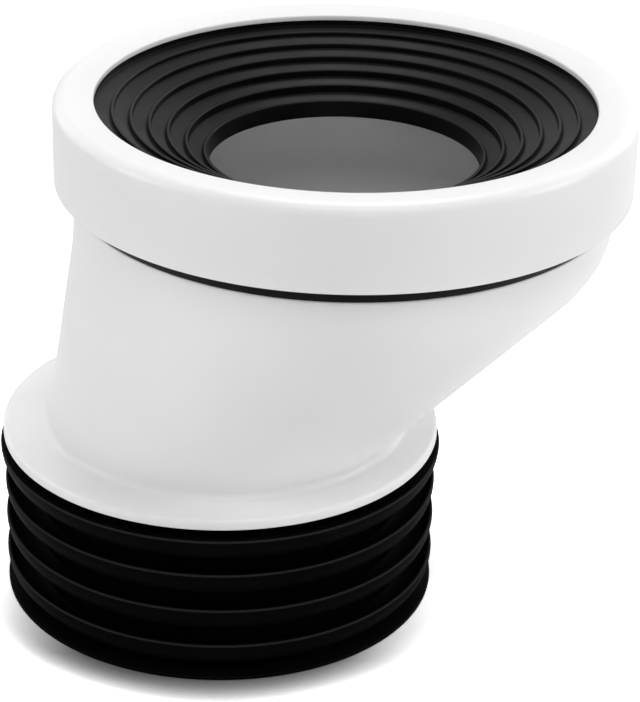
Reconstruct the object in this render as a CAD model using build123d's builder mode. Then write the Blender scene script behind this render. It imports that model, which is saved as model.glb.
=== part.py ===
from build123d import *
import math
import os

# Offset toilet pan connector: moulded body, finned outlet seal, ribbed inlet seal and retaining collar.
# The frame has +Z up. The origin is on the outlet axis at the flat outlet end.
# The inlet axis is upright too, and offset along +X. All sizes are in millimetres and all slopes in degrees.

# Passage
inlet_offset = 30.0
outlet_bore = 83.0
neck_bore = 123.0

# Body: spigot with the bead that keeps the outlet seal on, and shoulder that stops it
spigot_wall = 3.0
spigot_bead = 1.0
spigot_bead_width = 4.0
spigot_bead_from_end = 12.0
shoulder_width = 11.45
shoulder_thickness = 2.7
shoulder_edge_radius = 0.8
wall_foot_radius = 1.8

# Body: oblique wall, and the soft blend that turns it upright at the rim
transition_height = 52.6
rim_blend_height = 7.0
rim_height = 3.75
rim_edge_radius = 0.4
ledge_width = 2.6

# Body: neck with the bead that holds the inlet seal
neck_wall = 2.7
neck_height = 19.65
neck_bead = 2.0
neck_bead_height = 3.0

# Outlet seal: sleeve with cup fins and an end flange
sleeve_wall = 3.0
fin_count = 4
fin_pitch = 10.0
fin_gap = 3.0
fin_reach = 8.15
top_fin_reach = 9.15
fin_bulge = 3.0
fin_tip = 0.9
fin_root = 2.4
top_fin_root = 5.8
top_fin_dish = 0.4
end_flange_tip = 1.0
end_flange_root = 2.0
crest_gap = 2.7

# Inlet seal: channel round the end of the neck
seal_web = 2.6
seal_cover = 2.1
seal_foot = 2.3
inner_leg = 2.0
inner_leg_depth = 8.0

# Inlet seal: funnel stepped by raised ribs, which get further apart in height towards the throat
rib_count = 6
rib_pitch = 4.5
rib_width = 0.9
rib_rise = 0.9
rib_edge_radius = 0.35
first_tread_drop = 1.45
first_crest_fall = 0.1
second_crest_fall = 1.65
last_crest_fall = 2.7
first_step = 1.2
last_step = 2.1
membrane = 1.4
throat_lip = 4.35
throat_taper = 0.55

# Retaining collar
collar_wall = 3.0
collar_gap = 4.05
collar_crown = 3.2
collar_dish = 0.8
collar_edge_radius = 3.0
collar_clamp_width = 2.5
collar_lip = 1.4
collar_lip_reach = 7.1

# Fit of rubber on plastic
seat_clearance = 0.1

# Heights of the seats, from the outlet end upwards
shoulder_bottom = fin_count * fin_pitch + crest_gap
shoulder_top = shoulder_bottom + shoulder_thickness
rim_bottom = shoulder_top + transition_height
ledge = rim_bottom + rim_blend_height + rim_height
neck_top = ledge + neck_height
collar_seat = neck_top + seal_web
collar_bottom = ledge + collar_gap
collar_top = collar_seat + collar_crown
mouth_top = collar_top - collar_dish
mouth_bottom = mouth_top - collar_lip

# Radii round the outlet axis
outlet_radius = outlet_bore / 2
spigot_radius = outlet_radius + spigot_wall
sleeve_inside = spigot_radius + seat_clearance
sleeve_outside = sleeve_inside + sleeve_wall

# Radii round the inlet axis
neck_inside = neck_bore / 2
neck_radius = neck_inside + neck_wall
rim_radius = neck_radius + ledge_width
neck_bead_radius = neck_radius + neck_bead
seal_outside = neck_bead_radius + seat_clearance + seal_cover
collar_inside = seal_outside + seat_clearance
collar_radius = collar_inside + collar_wall
clamp_radius = collar_inside - collar_clamp_width
mouth_radius = collar_inside - collar_lip_reach

# The two upright axes, and the plane in which the sections round each one are drawn
outlet_axis = Axis.Z
outlet_section = Plane.XZ
inlet_axis = Axis((inlet_offset, 0, 0), (0, 0, 1))
inlet_section = Plane(origin=(inlet_offset, 0, 0), x_dir=(1, 0, 0), z_dir=(0, -1, 0))


def level(height, centre):
    """The horizontal plane at a height, with its origin at a distance along X."""
    return Plane(origin=(centre, 0, height))


def spigot_bead_outline(clearance):
    """Corners of the spigot's bead from the bottom upwards, grown by a clearance."""
    face = spigot_radius + clearance
    bottom = spigot_bead_from_end - clearance
    top = spigot_bead_from_end + spigot_bead_width + clearance
    return [
        (face, bottom),
        (face + spigot_bead, bottom + spigot_bead),
        (face + spigot_bead, top - spigot_bead),
        (face, top),
    ]


def neck_outline(clearance):
    """Corners of the neck's section from the ledge to its beaded end, grown sideways by a clearance."""
    return [
        (neck_inside - clearance, ledge),
        (neck_radius + clearance, ledge),
        (neck_radius + clearance, neck_top - neck_bead_height - neck_bead),
        (neck_bead_radius + clearance, neck_top - neck_bead_height),
        (neck_bead_radius + clearance, neck_top),
        (neck_inside - clearance, neck_top),
    ]


os.makedirs("parts", exist_ok=True)

# Body: the wall leans straight from the outlet circle towards the wider inlet circle
lean = inlet_offset / transition_height
flare = (rim_radius - spigot_radius) / transition_height
blend_bottom = rim_bottom - rim_blend_height
with BuildPart() as body:
    with BuildSketch(level(shoulder_top, 0)):
        Circle(spigot_radius)
    with BuildSketch(level(blend_bottom, inlet_offset - lean * rim_blend_height)):
        Circle(rim_radius - flare * rim_blend_height)
    loft(ruled=True)
    # Parabolic blend in which the wall turns upright
    for share in (0, 0.25, 0.5, 0.75, 1):
        shortfall = rim_blend_height * (1 - share) ** 2
        with BuildSketch(level(blend_bottom + 2 * rim_blend_height * share, inlet_offset - lean * shortfall)):
            Circle(rim_radius - flare * shortfall)
    loft()
    # Upright rim, with the ledge on which the inlet seal stands
    with BuildSketch(level(rim_bottom + rim_blend_height, inlet_offset)):
        Circle(rim_radius)
    extrude(amount=rim_height)
    fillet(body.edges().group_by(Axis.Z)[-1], rim_edge_radius)
    # Neck with a bead at its end
    with BuildSketch(inlet_section):
        with BuildLine():
            Polyline(neck_outline(0), close=True)
        make_face()
    revolve(axis=inlet_axis)
    # Spigot with its bead, under the shoulder that stops the outlet seal
    with BuildSketch(outlet_section):
        with BuildLine():
            shoulder_edge = (spigot_radius + shoulder_width, shoulder_top)
            Polyline(
                (0, shoulder_top),
                (0, 0),
                (spigot_radius, 0),
                *spigot_bead_outline(0),
                (spigot_radius, shoulder_bottom),
                (shoulder_edge[0], shoulder_bottom),
                shoulder_edge,
                close=True,
            )
        spigot_face = make_face()
        fillet(spigot_face.vertices().sort_by_distance(shoulder_edge)[0], shoulder_edge_radius)
    revolve(axis=outlet_axis)
    wall_foot = body.edges().filter_by(GeomType.CIRCLE).sort_by_distance((0, 0, shoulder_top))[0]
    fillet(wall_foot, wall_foot_radius)
    # Passage: outlet bore, oblique chamber and neck bore
    with BuildSketch(level(0, 0)):
        Circle(outlet_radius)
    extrude(amount=shoulder_top, mode=Mode.SUBTRACT)
    with BuildSketch(level(shoulder_top, 0)):
        Circle(outlet_radius)
    with BuildSketch(level(rim_bottom, inlet_offset)):
        Circle(neck_inside)
    loft(ruled=True, mode=Mode.SUBTRACT)
    with BuildSketch(level(rim_bottom, inlet_offset)):
        Circle(neck_inside)
    extrude(amount=neck_top - rim_bottom, mode=Mode.SUBTRACT)
body.part.label = "body"
export_step(body.part, "parts/body.step")

# Outlet seal: a sleeve on the spigot, with an end flange and cup fins swept up towards the shoulder.
# The top fin is nearly filled, so that its upper side closes the gap under the shoulder.
with BuildPart() as outlet_seal:
    with BuildSketch(outlet_section):
        with BuildLine():
            Polyline(
                (sleeve_inside, 0),
                (sleeve_outside + fin_reach, 0),
                (sleeve_outside + fin_reach, end_flange_tip),
                (sleeve_outside, end_flange_root),
                (sleeve_outside, shoulder_bottom),
                (sleeve_inside, shoulder_bottom),
                close=True,
            )
        make_face()
        for number in range(fin_count):
            root = number * fin_pitch + fin_gap
            crest = (number + 1) * fin_pitch
            is_top = number == fin_count - 1
            reach = top_fin_reach if is_top else fin_reach
            outer_foot = (sleeve_outside, root)
            inner_foot = (sleeve_outside, root + (top_fin_root if is_top else fin_root))
            outer_tip = (sleeve_outside + reach, crest)
            inner_tip = (sleeve_outside + reach - fin_tip, crest)
            with BuildLine():
                SagittaArc(outer_foot, outer_tip, -fin_bulge)
                Line(outer_tip, inner_tip)
                SagittaArc(inner_tip, inner_foot, top_fin_dish if is_top else fin_bulge)
                Line(inner_foot, outer_foot)
            make_face()
        # Groove for the spigot's bead
        with BuildLine():
            Polyline(spigot_bead_outline(seat_clearance), close=True)
        make_face(mode=Mode.SUBTRACT)
    revolve(axis=outlet_axis)
outlet_seal.part.label = "outlet_seal"
export_step(outlet_seal.part, "parts/outlet_seal.step")

# Inlet seal: a rib stands at the inner end of each tread, and the last rib turns down into the throat lip
leg_outside = neck_inside - seat_clearance
leg_inside = leg_outside - inner_leg
foot_outside = neck_radius + seat_clearance + seal_foot
first_tread = (mouth_radius, mouth_bottom - first_tread_drop)
first_tread_fall = (first_crest_fall + rib_rise) / (rib_pitch - rib_width / 2)
leg_top = first_tread[1] - (mouth_radius - leg_inside) * first_tread_fall
funnel_top = [first_tread]
funnel_under = [(first_tread[0], first_tread[1] - membrane)]
crest = first_tread[1] - first_crest_fall
for number in range(rib_count):
    middle = mouth_radius - (number + 1) * rib_pitch
    outer = middle + rib_width / 2
    inner = middle - rib_width / 2
    funnel_top += [(outer, crest - rib_rise), (outer, crest), (inner, crest)]
    if number < rib_count - 1:
        share = number / max(rib_count - 2, 1)
        foot = crest - first_step - (last_step - first_step) * share
        funnel_top.append((inner, foot))
        funnel_under.append((inner, foot - membrane))
        crest -= second_crest_fall + (last_crest_fall - second_crest_fall) * share
funnel_under.append((outer, crest - rib_rise - membrane))
throat_end = (inner - throat_taper, crest - throat_lip)
rib_edge = min(rib_edge_radius, 0.45 * rib_width, 0.9 * rib_rise, 0.9 * first_step)
corner_radii = [0, rib_edge, rib_edge, 0] * (rib_count - 1) + [0, rib_edge, rib_edge]
with BuildPart() as inlet_seal:
    with BuildSketch(inlet_section):
        # Channel that embraces the end of the neck
        with BuildLine():
            Polyline(
                (leg_inside, neck_top - inner_leg_depth),
                (leg_outside, neck_top - inner_leg_depth),
                (leg_outside, ledge),
                (foot_outside, ledge),
                (seal_outside, collar_bottom),
                (seal_outside, collar_seat),
                (clamp_radius, collar_seat),
                (mouth_radius, mouth_bottom),
                first_tread,
                (leg_inside, leg_top),
                close=True,
            )
        make_face()
        # Ribbed funnel on a thin membrane
        with BuildLine():
            FilletPolyline(*funnel_top, throat_end, radius=corner_radii)
            throat_back = (throat_end[0] + membrane, throat_end[1])
            Polyline(throat_end, throat_back, *reversed(funnel_under), first_tread)
        make_face()
        # Seat of the neck
        with BuildLine():
            Polyline(neck_outline(seat_clearance), close=True)
        make_face(mode=Mode.SUBTRACT)
    revolve(axis=inlet_axis)
inlet_seal.part.label = "inlet_seal"
export_step(inlet_seal.part, "parts/inlet_seal.step")

# Retaining collar: a ring cap with a dished top that presses the inlet seal onto the neck
with BuildPart() as retaining_collar:
    with BuildSketch(inlet_section):
        with BuildLine():
            crown_start = (collar_radius, collar_top - collar_edge_radius)
            crown = JernArc(crown_start, (0, 1), collar_edge_radius, 90)
            Polyline(
                crown @ 1,
                (mouth_radius, mouth_top),
                (mouth_radius, mouth_bottom),
                (clamp_radius, collar_seat),
                (collar_inside, collar_seat),
                (collar_inside, collar_bottom),
                (collar_radius, collar_bottom),
                crown_start,
            )
        make_face()
    revolve(axis=inlet_axis)
retaining_collar.part.label = "retaining_collar"
export_step(retaining_collar.part, "parts/retaining_collar.step")
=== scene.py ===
# %% [markdown]
# # An offset toilet pan connector
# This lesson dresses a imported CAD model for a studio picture. The connector joins the outlet of a toilet pan to a
# soil pipe whose axis lies a little to one side. It has four pieces: a white moulded body, a black rubber outlet seal
# with fins, a black rubber inlet seal shaped as a ribbed funnel, and a white collar that holds the inlet seal.

# %% Load the frame
import math

import bmesh
import bpy
from mathutils import Matrix, Vector


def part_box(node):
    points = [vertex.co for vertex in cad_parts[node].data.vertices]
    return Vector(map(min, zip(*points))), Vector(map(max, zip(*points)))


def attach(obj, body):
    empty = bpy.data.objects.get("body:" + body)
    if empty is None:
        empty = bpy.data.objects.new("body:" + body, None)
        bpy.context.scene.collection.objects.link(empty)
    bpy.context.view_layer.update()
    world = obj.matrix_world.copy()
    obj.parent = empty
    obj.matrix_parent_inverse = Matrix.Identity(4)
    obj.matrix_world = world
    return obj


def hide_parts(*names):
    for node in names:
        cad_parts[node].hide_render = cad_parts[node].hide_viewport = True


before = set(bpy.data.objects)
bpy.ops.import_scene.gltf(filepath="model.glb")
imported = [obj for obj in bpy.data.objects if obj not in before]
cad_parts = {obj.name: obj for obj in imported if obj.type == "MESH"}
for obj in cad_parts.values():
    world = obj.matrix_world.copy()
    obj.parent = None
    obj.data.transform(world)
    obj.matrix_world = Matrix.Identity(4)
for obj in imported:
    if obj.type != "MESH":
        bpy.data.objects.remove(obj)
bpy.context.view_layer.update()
print("CAD nodes:", sorted(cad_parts))

# %% [markdown]
# ## Measure the frame
# Blender works in metres and the sizes of such a fitting are small, so lengths below are written in millimetres times
# MM. The heights at which the pieces meet are read from the boxes of the CAD nodes. That keeps every new piece in its
# place, even if the model is packed again with another height or offset.

# %% Heights and axes
MM = 0.001
body_low, body_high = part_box("body")
outlet_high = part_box("outlet_seal")[1]
inlet_low, inlet_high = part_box("inlet_seal")
collar_low, collar_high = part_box("retaining_collar")

inlet_offset = (collar_low.x + collar_high.x) / 2
shoulder_bottom = outlet_high.z
ledge = inlet_low.z
neck_top = body_high.z
mouth_bottom = inlet_high.z
collar_bottom = collar_low.z
collar_top = collar_high.z
print(f"inlet offset {inlet_offset / MM:.1f} mm, height {collar_top / MM:.1f} mm")

# %% [markdown]
# ## Camera
# The picture was taken from a little above, with a long lens and a slight roll. A camera in Blender looks along its own
# minus Z, so a turn about X of 90 degrees less the downward pitch makes it look forward and down. The roll is a turn
# about the camera's own Z axis and comes last. The lens is given for the taller side of the image, because the sensor
# fit is automatic.

# %% Place the camera
camera_place = Vector((25.2, -587.2, 350.3)) * MM
camera_pitch = math.radians(25.985)
camera_roll = math.radians(1.457)

camera = bpy.data.objects.new("camera", bpy.data.cameras.new("camera"))
camera.data.lens = 131.05
camera.data.sensor_width = 36
camera.data.clip_start = 0.05
turn = Matrix.Rotation(math.pi / 2 - camera_pitch, 4, "X") @ Matrix.Rotation(camera_roll, 4, "Z")
camera.matrix_world = Matrix.Translation(camera_place) @ turn
bpy.context.scene.collection.objects.link(camera)
bpy.context.scene.camera = camera
print("camera lens", round(camera.data.lens, 2), "mm")

# %% [markdown]
# ## Floor and background
# A product on white has a background that is simply white, with a short dark shadow where it touches the floor. The
# floor is a plane with a plain diffuse finish. A Light Path node tells which kind of ray asks for its colour. Rays from
# the camera and mirror-like rays get one shader, and rays that only carry light to the object get another, which is an
# ordinary white. The world does the same: white where it is seen, and a dim grey where it lights.

# %% Floor and world
scene = bpy.context.scene
scene.view_settings.view_transform = "Standard"

floor_size = 6.0
floor_white = 0.95
floor_boost = 2.3
world_white = 1.0
ambient = 0.02


def seen_or_lit(tree, shader_kind, output_kind, seen, lit):
    """One grey where a ray shows the background and another where it lights the object. Gives the first shader."""
    nodes, links = tree.nodes, tree.links
    nodes.clear()
    path = nodes.new("ShaderNodeLightPath")
    choice = nodes.new("ShaderNodeMixShader")
    surface = nodes.new(output_kind)
    for socket, grey in ((1, lit), (2, seen)):
        shader = nodes.new(shader_kind)
        shader.inputs["Color"].default_value = (grey, grey, grey, 1)
        links.new(shader.outputs[0], choice.inputs[socket])
    showing = path.outputs["Is Camera Ray"]
    for kind in ("Is Glossy Ray", "Is Transmission Ray"):
        either = nodes.new("ShaderNodeMath")
        either.operation = "MAXIMUM"
        links.new(showing, either.inputs[0])
        links.new(path.outputs[kind], either.inputs[1])
        showing = either.outputs["Value"]
    links.new(showing, choice.inputs["Fac"])
    links.new(choice.outputs["Shader"], surface.inputs["Surface"])
    return shader


floor_mesh = bmesh.new()
bmesh.ops.create_grid(floor_mesh, x_segments=1, y_segments=1, size=floor_size / 2)
floor_data = bpy.data.meshes.new("floor")
floor_mesh.to_mesh(floor_data)
floor_mesh.free()
floor = bpy.data.objects.new("floor", floor_data)
scene.collection.objects.link(floor)

floor_finish = bpy.data.materials.new("floor_white")
floor_finish.use_nodes = True
floor_data.materials.append(floor_finish)
shown_floor = seen_or_lit(floor_finish.node_tree, "ShaderNodeBsdfDiffuse", "ShaderNodeOutputMaterial",
                          floor_boost, floor_white)

world = bpy.data.worlds.new("studio")
world.use_nodes = True
scene.world = world
seen_or_lit(world.node_tree, "ShaderNodeBackground", "ShaderNodeOutputWorld", world_white, ambient)
print("floor", floor_size, "m wide, world", world.name)

# %% [markdown]
# ## Contact shade
# The camera's floor is raised past white, so that the wide weak shadows of the lamps clip to white. That would wash out
# the short dark shadow in front of the object too, so an Ambient Occlusion node brings it back. It looks backward from
# each point of the floor and measures how much of that view the object blocks within a few millimetres. A power makes
# the shade deeper. Along Y the shade fades in from the middle of the object to its front, because the sides of the
# object have hardly any. Mirror-like rays see the floor plain white and without the shade.

# %% Shade the floor
shade_width = 12 * MM
shade_depth = 2.6
shade_start = -10 * MM
shade_full = -45 * MM
shade_view = Vector((0.15, 0.95, 0.27))

nodes, links = floor_finish.node_tree.nodes, floor_finish.node_tree.links
backward = nodes.new("ShaderNodeCombineXYZ")
for socket, part in zip(backward.inputs, shade_view):
    socket.default_value = part
contact = nodes.new("ShaderNodeAmbientOcclusion")
contact.samples = 16
contact.inputs["Distance"].default_value = shade_width
links.new(backward.outputs["Vector"], contact.inputs["Normal"])
deepen = nodes.new("ShaderNodeMath")
deepen.operation = "POWER"
deepen.inputs[1].default_value = shade_depth
links.new(contact.outputs["AO"], deepen.inputs[0])

place = nodes.new("ShaderNodeTexCoord")
sides = nodes.new("ShaderNodeSeparateXYZ")
links.new(place.outputs["Object"], sides.inputs["Vector"])
in_front = nodes.new("ShaderNodeMapRange")
in_front.inputs["From Min"].default_value = shade_start
in_front.inputs["From Max"].default_value = shade_full
links.new(sides.outputs["Y"], in_front.inputs["Value"])
print(f"contact shade {shade_width / MM:.0f} mm wide")

# %% [markdown]
# Three nodes put the numbers together. The first mixes plain white with the shade, the second raises the result, and
# the third gives it to rays from the camera only.

# %% Mix the floor's colour
shaded = nodes.new("ShaderNodeMix")
shaded.inputs["A"].default_value = 1
links.new(in_front.outputs["Result"], shaded.inputs["Factor"])
links.new(deepen.outputs["Value"], shaded.inputs["B"])
raised = nodes.new("ShaderNodeMath")
raised.operation = "MULTIPLY"
raised.inputs[1].default_value = floor_boost
links.new(shaded.outputs["Result"], raised.inputs[0])
by_ray = nodes.new("ShaderNodeMix")
by_ray.inputs["A"].default_value = 1
path = next(node for node in nodes if node.type == "LIGHT_PATH")
links.new(path.outputs["Is Camera Ray"], by_ray.inputs["Factor"])
links.new(raised.outputs["Value"], by_ray.inputs["B"])
links.new(by_ray.outputs["Result"], shown_floor.inputs["Color"])
print("the floor's finish has", len(nodes), "nodes")

# %% [markdown]
# ## Soft boxes
# Large soft lamps on all sides give white plastic its even tones. The strongest hangs above and a little behind. It
# lights the top of the collar, and the ribs of the funnel mirror it. One in front and high lights the shoulder, and a
# low one lights the front of the wall and the passage. Lamps at the left and right model the round sides, and two
# behind them keep the far edges light. Each is an area light turned towards the object with a track rotation.

# %% Area lights
aim = Vector((20, 0, 70)) * MM


def soft_box(name, place, width, height, power):
    """An area light of that size in metres and power in watts, turned towards the object."""
    lamp = bpy.data.lights.new(name, "AREA")
    lamp.shape = "RECTANGLE"
    lamp.size = width
    lamp.size_y = height
    lamp.energy = power
    holder = bpy.data.objects.new(name, lamp)
    holder.location = place
    holder.rotation_euler = (aim - Vector(place)).to_track_quat("-Z", "Y").to_euler()
    scene.collection.objects.link(holder)


soft_box("box_above", (0.05, 0.35, 1.15), 0.6, 0.6, 7.2)
soft_box("box_front", (0.05, -0.65, 1.1), 0.8, 0.6, 4.3)
soft_box("box_front_low", (0.1, -1.15, 0.47), 0.6, 0.25, 1.9)
soft_box("box_front_left", (-0.85, -0.75, 0.45), 0.3, 0.8, 0.8)
soft_box("box_left", (-1.1, -0.1, 0.45), 0.35, 0.5, 3.3)
soft_box("box_right", (1.15, -0.1, 0.45), 0.35, 0.5, 4.5)
soft_box("box_behind_left", (-0.8, 0.8, 0.45), 0.4, 0.8, 1.1)
soft_box("box_behind_right", (0.85, 0.8, 0.45), 0.4, 0.8, 3.0)

# %% [markdown]
# ## Helpers for the finishes
# Up close no moulded surface is one flat colour. It has a very fine grain from the mould, and slow waves or patches
# where the material shrank. Noise textures on Object coordinates give both. Four helpers make such a noise, turn it
# into a tone between two greys, spread it over a range for the roughness, and use it as a bump.

# %% Noise, tone, range and bump
noise_low, noise_high = 0.3, 0.7


def noise(nodes, links, scale, detail):
    """A noise texture on Object coordinates. Its scale is in cells per metre."""
    place = nodes.new("ShaderNodeTexCoord")
    texture = nodes.new("ShaderNodeTexNoise")
    texture.inputs["Scale"].default_value = scale
    texture.inputs["Detail"].default_value = detail
    links.new(place.outputs["Object"], texture.inputs["Vector"])
    return texture


def tone(nodes, links, texture, dark, light):
    """A colour between two greys that follows the texture."""
    ramp = nodes.new("ShaderNodeValToRGB")
    ends = zip(ramp.color_ramp.elements, (noise_low, noise_high), (dark, light))
    for end, position, grey in ends:
        end.position = position
        end.color = (grey, grey, grey, 1)
    links.new(texture.outputs["Fac"], ramp.inputs["Fac"])
    return ramp.outputs["Color"]


def spread(nodes, links, texture, middle, reach):
    """The texture's value spread evenly to both sides of a middle value."""
    span = nodes.new("ShaderNodeMapRange")
    span.inputs["From Min"].default_value = noise_low
    span.inputs["From Max"].default_value = noise_high
    span.inputs["To Min"].default_value = middle - reach
    span.inputs["To Max"].default_value = middle + reach
    links.new(texture.outputs["Fac"], span.inputs["Value"])
    return span.outputs["Result"]


def bump(nodes, links, texture, height, before=None):
    """A bump of a height in metres, on top of an earlier one if there is one."""
    relief = nodes.new("ShaderNodeBump")
    relief.inputs["Strength"].default_value = 1
    relief.inputs["Distance"].default_value = height
    links.new(texture.outputs["Fac"], relief.inputs["Height"])
    if before:
        links.new(before, relief.inputs["Normal"])
    return relief.outputs["Normal"]


print("noise between", noise_low, "and", noise_high, "is used")

# %% [markdown]
# ## White moulded plastic
# The body and the collar are moulded in a white plastic with a satin surface. A little light enters such a plastic and
# comes out again some millimetres away, which softens the shadows in its corners, so the shader has some subsurface
# scattering. The slow waves change the tone and the roughness. The fine grain is only a bump, because a roughness that
# follows it would look like dust.

# %% Plastic finish
wave_scale, wave_height = 22, 0.1 * MM
plastic_grain_scale, plastic_grain_height = 1600, 0.001 * MM
plastic_roughness_reach = 0.03


def white_plastic(name, dark, light, roughness):
    """Satin white plastic between two greys, with grain and slow waves."""
    finish = bpy.data.materials.new(name)
    finish.use_nodes = True
    nodes, links = finish.node_tree.nodes, finish.node_tree.links
    shader = nodes["Principled BSDF"]
    shader.inputs["IOR"].default_value = 1.5
    shader.inputs["Specular IOR Level"].default_value = 0.3
    shader.inputs["Subsurface Weight"].default_value = 0.5
    shader.inputs["Subsurface Radius"].default_value = (1, 1, 1)
    shader.inputs["Subsurface Scale"].default_value = 3 * MM
    waves = noise(nodes, links, wave_scale, 2)
    grain = noise(nodes, links, plastic_grain_scale, 3)
    links.new(tone(nodes, links, waves, dark, light), shader.inputs["Base Color"])
    links.new(spread(nodes, links, waves, roughness, plastic_roughness_reach), shader.inputs["Roughness"])
    relief = bump(nodes, links, waves, wave_height)
    relief = bump(nodes, links, grain, plastic_grain_height, relief)
    links.new(relief, shader.inputs["Normal"])
    return finish


body_plastic = white_plastic("body_plastic", 0.86, 0.90, 0.32)
collar_plastic = white_plastic("collar_plastic", 0.86, 0.90, 0.32)
print("finishes:", body_plastic.name, collar_plastic.name)

# %% [markdown]
# ## Black moulded rubber
# The seals are black rubber with a slight sheen, which is the strength of the mirror-like part. Rubber from a mould has
# a fine matt grain and small uneven patches, which break up the highlights. The thin edges of the fins catch the light
# as hairlines, and these hairlines are a painted highlight: a mesh attribute marks those edges, and a Mix node makes
# the colour lighter there. The Map Range node before it keeps only the upper part of the attribute's fade, so that the
# painted lines stay narrow.

# %% Rubber finish
patch_scale, patch_height = 60, 0.05 * MM
rubber_grain_scale, rubber_grain_height = 2200, 0.02 * MM
rubber_roughness_reach = 0.06
painted_highlight_from = 0.6
mix_factor, mix_first_colour, mix_second_colour, mix_colour_result = 0, 6, 7, 2


def paint_edge_highlight(nodes, links, colour, painted_highlight_grey):
    """The colour, changed to a lighter grey where the edge attribute is near 1: a painted highlight."""
    painted_highlight = nodes.new("ShaderNodeAttribute")
    painted_highlight.attribute_name = "painted_highlight"
    narrow = nodes.new("ShaderNodeMapRange")
    narrow.inputs["From Min"].default_value = painted_highlight_from
    links.new(painted_highlight.outputs["Fac"], narrow.inputs["Value"])
    mix = nodes.new("ShaderNodeMix")
    mix.data_type = "RGBA"
    mix.inputs[mix_second_colour].default_value = (painted_highlight_grey, painted_highlight_grey, painted_highlight_grey, 1)
    links.new(narrow.outputs["Result"], mix.inputs[mix_factor])
    links.new(colour, mix.inputs[mix_first_colour])
    return mix.outputs[mix_colour_result]


def black_rubber(name, dark, light, roughness, sheen, painted_highlight_grey=None):
    """Black rubber between two greys, with grain, uneven patches and perhaps a painted highlight on its edges."""
    finish = bpy.data.materials.new(name)
    finish.use_nodes = True
    nodes, links = finish.node_tree.nodes, finish.node_tree.links
    shader = nodes["Principled BSDF"]
    shader.inputs["IOR"].default_value = 1.5
    shader.inputs["Specular IOR Level"].default_value = sheen
    patches = noise(nodes, links, patch_scale, 4)
    grain = noise(nodes, links, rubber_grain_scale, 3)
    colour = tone(nodes, links, patches, dark, light)
    # Painted highlight: the marked fin edges get a lighter grey, which stands in for the light that they catch.
    if painted_highlight_grey:
        colour = paint_edge_highlight(nodes, links, colour, painted_highlight_grey)
    links.new(colour, shader.inputs["Base Color"])
    links.new(spread(nodes, links, patches, roughness, rubber_roughness_reach), shader.inputs["Roughness"])
    relief = bump(nodes, links, patches, patch_height)
    relief = bump(nodes, links, grain, rubber_grain_height, relief)
    links.new(relief, shader.inputs["Normal"])
    return finish


# The fin edges of the outlet rubber get a painted highlight of grey 0.02.
outlet_rubber = black_rubber("outlet_rubber", 0.0015, 0.0025, 0.5, 0.012, painted_highlight_grey=0.02)
inlet_rubber = black_rubber("inlet_rubber", 0.001, 0.002, 0.38, 0.085)
print("finishes:", outlet_rubber.name, inlet_rubber.name)

# %% [markdown]
# ## Turning a section into a ring
# Three of the pieces are rings, so each is drawn as a flat section and turned once round its axis. The section is one
# face, and a vertex bevel rounds those of its corners that have a rounding. Then the face is removed, its outline is
# spun, and the ends are merged. A weighted normal modifier keeps the shading of flat faces even beside round edges.

# %% Spin helper
turn_steps = 288
merge_distance = 0.002 * MM
sharp_angle = math.radians(40)
wide_rounding = 1.5 * MM
few_segments, many_segments = 4, 10


def finish_piece(mesh, name, node, finish):
    """Make an object of a bmesh, smooth it, and let it stand for its CAD node."""
    bmesh.ops.remove_doubles(mesh, verts=mesh.verts[:], dist=merge_distance)
    bmesh.ops.recalc_face_normals(mesh, faces=mesh.faces[:])
    data = bpy.data.meshes.new(name)
    mesh.to_mesh(data)
    mesh.free()
    data.shade_smooth()
    data.set_sharp_from_angle(angle=sharp_angle)
    data.materials.append(finish)
    piece = bpy.data.objects.new(name, data)
    scene.collection.objects.link(piece)
    even = piece.modifiers.new("even_shading", "WEIGHTED_NORMAL")
    even.keep_sharp = True
    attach(piece, "root")
    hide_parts(node)
    print(name, "has", len(data.polygons), "faces")


def spin_section(corners, axis_x):
    """Spin a closed section about an upright axis. Each corner is a radius, a height and a rounding."""
    mesh = bmesh.new()
    points = [mesh.verts.new((axis_x + radius, 0, height)) for radius, height, rounding in corners]
    mesh.faces.new(points)
    for point, (radius, height, rounding) in zip(points, corners):
        if rounding > 0:
            segments = few_segments if rounding < wide_rounding else many_segments
            bmesh.ops.bevel(mesh, geom=[point], offset=rounding, segments=segments, profile=0.5,
                            affect="VERTICES", material=-1)
    bmesh.ops.delete(mesh, geom=mesh.faces[:], context="FACES_ONLY")
    bmesh.ops.spin(mesh, geom=mesh.verts[:] + mesh.edges[:], cent=(axis_x, 0, 0), axis=(0, 0, 1),
                   angle=2 * math.pi, steps=turn_steps, use_merge=True)
    return mesh


print("one turn has", turn_steps, "steps")

# %% [markdown]
# ## Retaining collar
# The collar is a ring cap with a plain upright side. Its outer top edge is well rounded, its top is dished a little
# towards the mouth, and its thin lip ends in a small face that shows above the rubber. The bevel of the top edge is a
# little shorter than the edge itself, so that it doesn't run into the next corner.

# %% Collar
collar_radius = (collar_high.x - collar_low.x) / 2
collar_wall = 3.0 * MM
collar_inside = collar_radius - collar_wall
collar_edge = 3.0 * MM
collar_bevel = 0.98 * collar_edge
clamp_radius = collar_inside - 2.5 * MM
collar_seat = neck_top + 2.6 * MM
mouth_radius = collar_inside - 7.1 * MM
mouth_top = mouth_bottom + 1.4 * MM

collar_section = [
    (collar_radius, collar_bottom, 0.4 * MM),
    (collar_radius, collar_top, collar_bevel),
    (collar_radius - collar_edge, collar_top, 0),
    (mouth_radius, mouth_top, 0.4 * MM),
    (mouth_radius, mouth_bottom, 0),
    (clamp_radius, collar_seat, 0),
    (collar_inside, collar_seat, 0),
    (collar_inside, collar_bottom, 0.3 * MM),
]
collar = spin_section(collar_section, inlet_offset)
finish_piece(collar, "collar_ring", "retaining_collar", collar_plastic)

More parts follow.
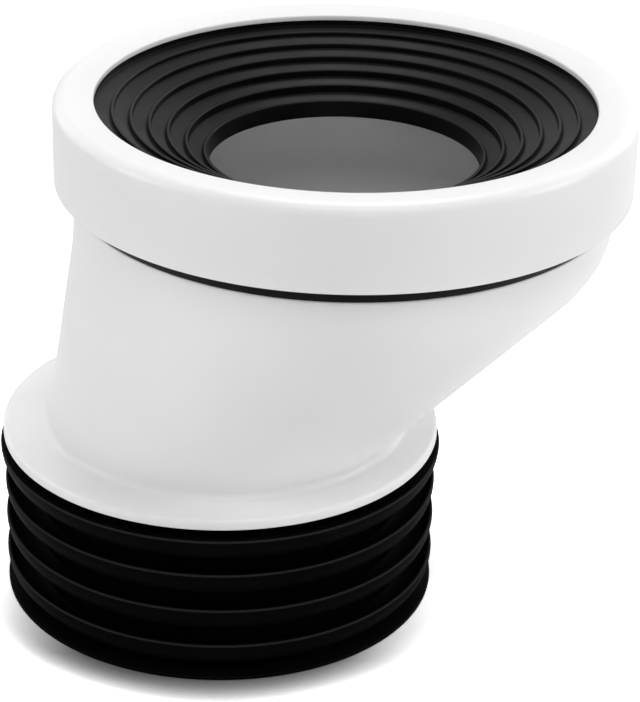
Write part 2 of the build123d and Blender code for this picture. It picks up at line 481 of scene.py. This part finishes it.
# %% [markdown]
# ## Inlet seal
# The inlet seal is a rubber channel round the neck, with a funnel inside that stretches over the pan's outlet. Six
# raised ribs stand on the funnel, and the innermost one turns down into the lip of the throat. A loop walks inwards
# from the mouth and collects the corners of the upper side: down a tread, up the outer side of a rib, across its round
# top and down its inner side. From rib to rib the funnel gets steeper. The underside only needs one corner under each
# rib.

# %% Ribbed funnel
rib_count = 6
rib_pitch = 4.5 * MM
rib_half = 0.45 * MM
rib_rise = 0.9 * MM
rib_edge = 0.35 * MM
foot_round = 0.1 * MM
membrane = 1.4 * MM
throat_lip = 4.35 * MM
throat_taper = 0.55 * MM
first_step, last_step = 1.2 * MM, 2.1 * MM
first_fall, last_fall = 1.65 * MM, 2.7 * MM

first_tread = mouth_bottom - 1.45 * MM
first_crest = first_tread - 0.1 * MM
first_tread_fall = (first_tread - first_crest + rib_rise) / (rib_pitch - rib_half)
upper = [(mouth_radius, first_tread, foot_round)]
under = []
crest = first_crest
for number in range(rib_count):
    share = number / (rib_count - 2)
    outer = mouth_radius - (number + 1) * rib_pitch + rib_half
    inner = outer - 2 * rib_half
    upper += [(outer, crest - rib_rise, foot_round), (outer, crest, rib_edge), (inner, crest, rib_edge)]
    if number < rib_count - 1:
        foot = crest - first_step - (last_step - first_step) * share
        upper.append((inner, foot, foot_round))
        under.append((inner, foot - membrane, foot_round))
        crest -= first_fall + (last_fall - first_fall) * share
under.append((outer, crest - rib_rise - membrane, foot_round))
throat_radius = inner - throat_taper
throat_height = crest - throat_lip
print(f"throat {2 * throat_radius / MM:.1f} mm across at {throat_height / MM:.1f} mm")

# %% [markdown]
# The channel closes the section: from the throat back under the funnel, down the inner leg, round the slot in which the
# end of the neck sits, down to the foot on the ledge, and up the outside to the mouth.

# %% Seal round the neck
seat = 0.1 * MM
neck_inside = 61.5 * MM
neck_radius = neck_inside + 2.7 * MM
neck_bead = 2.0 * MM
neck_bead_radius = neck_radius + neck_bead
neck_bead_bottom = neck_top - 3.0 * MM
seal_outside = collar_inside - seat
leg_outside = neck_inside - seat
leg_inside = leg_outside - 2.0 * MM
leg_top = under[0][1] + (leg_inside - under[0][0]) * first_tread_fall
leg_bottom = neck_top - 8.0 * MM
foot_outside = neck_radius + seat + 2.3 * MM

seal_section = [
    *upper,
    (throat_radius, throat_height, 0.4 * MM),
    (throat_radius + membrane, throat_height, 0.3 * MM),
    *reversed(under),
    (leg_inside, leg_top, foot_round),
    (leg_inside, leg_bottom, 0.4 * MM),
    (leg_outside, leg_bottom, 0.2 * MM),
    (leg_outside, neck_top, 0),
    (neck_bead_radius + seat, neck_top, 0),
    (neck_bead_radius + seat, neck_bead_bottom, 0),
    (neck_radius + seat, neck_bead_bottom - neck_bead, 0),
    (neck_radius + seat, ledge, 0),
    (foot_outside, ledge, 0.2 * MM),
    (seal_outside, collar_bottom, 0),
    (seal_outside, collar_seat, 0),
    (clamp_radius, collar_seat, 0),
    (mouth_radius, mouth_bottom, 0),
]
seal = spin_section(seal_section, inlet_offset)
finish_piece(seal, "inlet_funnel", "inlet_seal", inlet_rubber)

# %% [markdown]
# ## Outlet seal
# The outlet seal is a rubber sleeve with an end flange and cup-shaped fins, which bend up when the connector is pushed
# into the soil pipe. Each fin has an outer and an inner side, and both are arcs. A bevel gives such a curve only
# roughly, so a helper works out the points of an arc from its two ends and its bulge: it finds the centre of the circle
# and turns the first spoke round it in even steps.

# %% Arc helper
arc_steps = 14


def arc(start, end, bulge):
    """Points between the ends of an arc that bulges to the right of its way by that much."""
    start, end = Vector(start), Vector(end)
    half = (end - start) / 2
    radius = (half.length_squared + bulge ** 2) / (2 * abs(bulge))
    right = Vector((half.y, -half.x)).normalized() * math.copysign(1, bulge)
    centre = start + half - right * (radius - abs(bulge))
    swing = 4 * math.atan(bulge / half.length)
    points = []
    for number in range(1, arc_steps):
        spoke = Matrix.Rotation(swing * number / arc_steps, 2) @ (start - centre)
        points.append((*(centre + spoke), 0))
    return points


print("an arc has", arc_steps, "steps")

# %% [markdown]
# The section starts with the end flange and goes up fin by fin. The top fin is different: it reaches a little further
# than the others, and its inner side is only slightly dished.

# %% Fins and sleeve
fin_count = 4
fin_pitch = 10.0 * MM
fin_gap = 3.0 * MM
fin_root, top_fin_root = 2.4 * MM, 5.8 * MM
fin_bulge, top_fin_dish = 3.0 * MM, 0.4 * MM
fin_tip = 0.9 * MM
tip_round = 0.3 * MM
spigot_radius = 44.5 * MM
sleeve_inside = spigot_radius + seat
sleeve_outside = sleeve_inside + 3.0 * MM
top_tip = sleeve_outside + 9.15 * MM
other_tip = sleeve_outside + 8.15 * MM

outlet_section = [
    (sleeve_inside, 0, tip_round),
    (other_tip, 0, tip_round),
    (other_tip, 1.0 * MM, tip_round),
    (sleeve_outside, 2.0 * MM, 0),
]
for number in range(fin_count):
    root = number * fin_pitch + fin_gap
    crest = (number + 1) * fin_pitch
    is_top = number == fin_count - 1
    tip = top_tip if is_top else other_tip
    outer_foot = (sleeve_outside, root)
    inner_foot = (sleeve_outside, root + (top_fin_root if is_top else fin_root))
    outer_tip = (tip, crest)
    inner_tip = (tip - fin_tip, crest)
    outlet_section += [
        (*outer_foot, 0),
        *arc(outer_foot, outer_tip, fin_bulge),
        (*outer_tip, tip_round),
        (*inner_tip, tip_round),
        *arc(inner_tip, inner_foot, -top_fin_dish if is_top else -fin_bulge),
        (*inner_foot, 0),
    ]
outlet_section += [
    (sleeve_outside, shoulder_bottom, 0),
    (sleeve_inside, shoulder_bottom, 0),
]
fins = spin_section(outlet_section, 0)
print("the sleeve has", len(fins.faces), "faces")

# %% [markdown]
# The painted highlights on the edges of the fins need a mesh attribute. A bmesh keeps it in a layer, with one number
# for
# each point: 1 for points on the outer rounding of a fin's tip and 0 elsewhere.

# %% Mark the painted highlights on the edges of the fins
# Points marked 1 get the painted highlight in the rubber's finish.
painted_highlight_reach = tip_round + 0.01 * MM
painted_highlight = fins.verts.layers.float.new("painted_highlight")
for point in fins.verts:
    number = round(point.co.z / fin_pitch)
    tip = top_tip if number == fin_count else other_tip
    near_crest = number > 0 and abs(point.co.z - number * fin_pitch) < painted_highlight_reach
    point[painted_highlight] = float(near_crest and math.hypot(point.co.x, point.co.y) > tip - painted_highlight_reach)
print("marked points:", sum(point[painted_highlight] > 0 for point in fins.verts))
finish_piece(fins, "finned_sleeve", "outlet_seal", outlet_rubber)

# %% [markdown]
# ## Body
# The body is not one ring: its wall leans from the outlet circle to a wider circle round the inlet axis. It is made of
# rings that all have the same number of points, and each ring is a function that gives the place of a point for its
# angle. Most rings are circles. The foot of the wall is rounded as if a small ball rolled along the corner. For each
# angle the ball touches the leaning wall and the flat shoulder, and the ring's point lies on the arc between the two.

# %% Ring helpers
shoulder_top = shoulder_bottom + 2.7 * MM
shoulder_radius = -body_low.x
rim_radius = body_high.x - inlet_offset
blend_half = 7.0 * MM
blend_middle = shoulder_top + 52.6 * MM
outlet_radius = 41.5 * MM
foot_radius = 1.8 * MM
lean = inlet_offset / (blend_middle - shoulder_top)
flare = (rim_radius - spigot_radius) / (blend_middle - shoulder_top)
down = Vector((0, 0, -1))


def circle(height, centre, radius):
    """A ring round an upright axis, as a function that places the point at an angle."""
    def place(angle):
        return Vector((centre + radius * math.cos(angle), radius * math.sin(angle), height))
    return place


def wall_foot(share):
    """A ring on the rounded foot of the wall, from the shoulder at share 0 to the wall at share 1."""
    def place(angle):
        corner = circle(shoulder_top, 0, spigot_radius)(angle)
        along = Vector((-math.sin(angle), math.cos(angle), 0))
        up_wall = Vector((lean + flare * math.cos(angle), flare * math.sin(angle), 1))
        outward = along.cross(up_wall).normalized()
        touch = corner + up_wall * foot_radius * (1 - outward.z)
        ball = touch + outward * foot_radius
        return ball + down.slerp(-outward, share) * foot_radius
    return place


print(f"the wall leans {lean:.2f} and flares {flare:.2f} for each unit of height")

# %% [markdown]
# The list of rings starts at the outlet, goes up the outside, over the neck and down the passage, and ends where it
# began. The wall turns upright at the rim along a parabola, so the shortfall in that part shrinks with a square.

# %% Rings of the body
foot_steps = 10
blend_steps = 12

rings = [
    circle(0, 0, spigot_radius),
    circle(shoulder_bottom, 0, spigot_radius),
    circle(shoulder_bottom, 0, shoulder_radius),
    circle(shoulder_top, 0, shoulder_radius),
]
rings += [wall_foot(number / foot_steps) for number in range(foot_steps + 1)]
for number in range(blend_steps + 1):
    share = number / blend_steps
    shortfall = blend_half * (1 - share) ** 2
    height = blend_middle + blend_half * (2 * share - 1)
    rings.append(circle(height, inlet_offset - lean * shortfall, rim_radius - flare * shortfall))
rings += [
    circle(ledge, inlet_offset, rim_radius),
    circle(ledge, inlet_offset, neck_radius),
    circle(neck_bead_bottom - neck_bead, inlet_offset, neck_radius),
    circle(neck_bead_bottom, inlet_offset, neck_bead_radius),
    circle(neck_top, inlet_offset, neck_bead_radius),
    circle(neck_top, inlet_offset, neck_inside),
    circle(blend_middle, inlet_offset, neck_inside),
    circle(shoulder_top, 0, outlet_radius),
    circle(0, 0, outlet_radius),
    circle(0, 0, spigot_radius),
]
print("the body has", len(rings), "rings")

# %% [markdown]
# A layer keeps the angle of each point. An extrusion copies it to the new points, so every new ring knows where its
# points belong. The last ring meets the first and is merged with it, which closes the wall.

# %% Extrude ring by ring
wall = bmesh.new()
bmesh.ops.create_circle(wall, cap_ends=False, segments=turn_steps, radius=spigot_radius)
angles = wall.verts.layers.float.new("angle")
for point in wall.verts:
    point[angles] = math.atan2(point.co.y, point.co.x)
loop = wall.edges[:]
for ring in rings[1:]:
    grown = bmesh.ops.extrude_edge_only(wall, edges=loop)["geom"]
    points = {item for item in grown if isinstance(item, bmesh.types.BMVert)}
    loop = [item for item in grown if isinstance(item, bmesh.types.BMEdge)
            and all(point in points for point in item.verts)]
    for point in points:
        point.co = ring(point[angles])
wall.verts.layers.float.remove(angles)
bmesh.ops.remove_doubles(wall, verts=wall.verts[:], dist=merge_distance)
bmesh.ops.recalc_face_normals(wall, faces=wall.faces[:])
print("the wall has", len(wall.faces), "faces")

# %% [markdown]
# Moulded edges are never sharp. A small helper finds the edges of one ring by its height and radius, and a bevel rounds
# them: both edges of the shoulder's rim and the upper edge of the wall.

# %% Round the edges
ring_tolerance = 0.01 * MM
edge_segments = 6


def ring_edges(mesh, ring_height, ring_centre, ring_radius):
    """The edges of the ring with that height, centre and radius."""
    def on_ring(point):
        away = math.hypot(point.co.x - ring_centre, point.co.y)
        return abs(point.co.z - ring_height) < ring_tolerance and abs(away - ring_radius) < ring_tolerance
    return [edge for edge in mesh.edges if all(on_ring(point) for point in edge.verts)]


for place, rounding in [
    ((shoulder_top, 0, shoulder_radius), 0.8 * MM),
    ((shoulder_bottom, 0, shoulder_radius), 0.3 * MM),
    ((ledge, inlet_offset, rim_radius), 0.4 * MM),
]:
    edges = ring_edges(wall, *place)
    bmesh.ops.bevel(wall, geom=edges, offset=rounding, segments=edge_segments, profile=0.5, affect="EDGES",
                    material=-1)
    print("rounded", len(edges), "edges by", round(rounding / MM, 2), "mm")
finish_piece(wall, "connector_body", "body", body_plastic)
